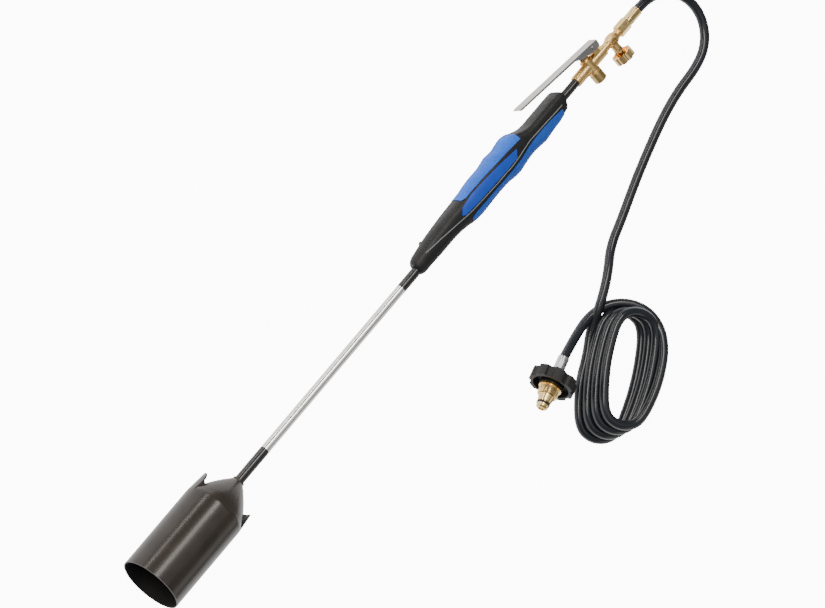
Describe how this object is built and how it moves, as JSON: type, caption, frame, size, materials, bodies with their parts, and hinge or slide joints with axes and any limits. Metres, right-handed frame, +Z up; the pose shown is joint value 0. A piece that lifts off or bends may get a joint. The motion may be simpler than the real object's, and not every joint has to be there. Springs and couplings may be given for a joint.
{
  "type": "propane torch",
  "caption": "Long roofing torch: bell burner, straight lance, moulded grip, brass valve with squeeze lever and flame knob, and a hose coiled to a cylinder fitting with a handwheel.",
  "frame": {"origin": "on the floor under the middle of the torch, which lies on its bell and its flame knob", "axes": "+X along the torch from the bell mouth to the hose end, +Y the lever's side, +Z up"},
  "size_m": [0.9078, 0.3562, 0.0734],
  "materials": {
    "bell_paint": "dark warm grey, semi-gloss heat-resistant paint",
    "tube_paint": "black gloss enamel",
    "jet_brass": "turned, dulled by heat",
    "lance_chrome": "polished plate, faintly brushed along",
    "hidden_steel": "plain, inside the tubes",
    "grip_black": "black moulded, fine texture",
    "pad_blue": "bright blue, pebbled",
    "side_blue": "deeper blue, smooth, blank",
    "screw_steel": "zinc plated",
    "valve_brass": "satin cast and turned",
    "stem_steel": "stainless, turned",
    "seal_rubber": "black nitrile",
    "lever_nickel": "nickel plated pressing",
    "hose_rubber": "black, soft sheen",
    "fitting_silver": "crimped, satin",
    "fitting_brass": "turned",
    "wheel_black": "black moulded"
  },
  "bodies": {
    "torch": {"bell": "bell_paint", "neck_tube": "tube_paint", "front_tube": "tube_paint", "rear_tube": "tube_paint", "jet_holder": "jet_brass", "burner_jet": "jet_brass", "lance_tube": "lance_chrome", "tube_couplers": "hidden_steel", "grip_left_shell": "grip_black", "grip_right_shell": "grip_black", "thumb_pad": "pad_blue", "finger_pad": "pad_blue", "side_pad_left": "side_blue", "side_pad_right": "side_blue", "grip_screws": "screw_steel", "lever_pin": "screw_steel", "valve_body": "valve_brass", "spring_cap": "valve_brass", "side_plug": "valve_brass", "plunger_gland": "valve_brass", "packing_nut": "valve_brass", "swivel_nut": "valve_brass", "hose_ferrule": "valve_brass", "hose_barb": "valve_brass", "return_spring": "stem_steel", "gland_oring": "seal_rubber", "cap_seal": "seal_rubber", "packing_ring": "seal_rubber", "pol_oring": "seal_rubber", "hose": "hose_rubber", "hose_coil": "hose_rubber", "hose_tail": "hose_rubber", "pol_ferrule": "fitting_silver", "pol_nipple": "fitting_brass", "pol_check_pin": "fitting_brass"},
    "lever": {"lever": "lever_nickel"},
    "plunger": {"plunger": "stem_steel", "poppet_seal": "seal_rubber"},
    "spindle": {"needle_spindle": "stem_steel"},
    "knob": {"knob": "valve_brass", "knob_screw": "screw_steel"},
    "pol_wheel": {"pol_handwheel": "wheel_black", "pol_nut": "fitting_brass"}
  },
  "joints": [
    {"name": "lever_squeeze", "type": "hinge", "parent": "torch", "child": "lever", "pos_m": [0.35247, 0.0134, 0.01267], "axis": [0.0332, 0, 0.9994], "range_deg": [0, 7], "stiffness_Nm_per_rad": 1.2, "springref_deg": -14.32},
    {"name": "plunger_slide", "type": "slide", "parent": "torch", "child": "plunger", "axis": [0, -1, 0], "range_m": [0, 0.00195], "deforming": ["return_spring"]},
    {"name": "spindle_travel", "type": "slide", "parent": "torch", "child": "spindle", "axis": [0, -1, 0], "range_m": [0, 0.0016]},
    {"name": "knob_turn", "type": "hinge", "parent": "spindle", "child": "knob", "pos_m": [0.37616, -0.022, 0.01188], "axis": [0, -1, 0], "range_deg": [0, 540]},
    {"name": "wheel_spin", "type": "hinge", "parent": "torch", "child": "pol_wheel", "pos_m": [0.0621, -0.1985, 0.0289], "axis": [-0.9602, -0.1866, 0.2079], "continuous": true}
  ],
  "couplings": [
    {"joint": "plunger_slide", "follows": "lever_squeeze", "m_per_rad": 0.01555},
    {"joint": "spindle_travel", "follows": "knob_turn", "m_per_rad": 0.00015915}
  ]
}
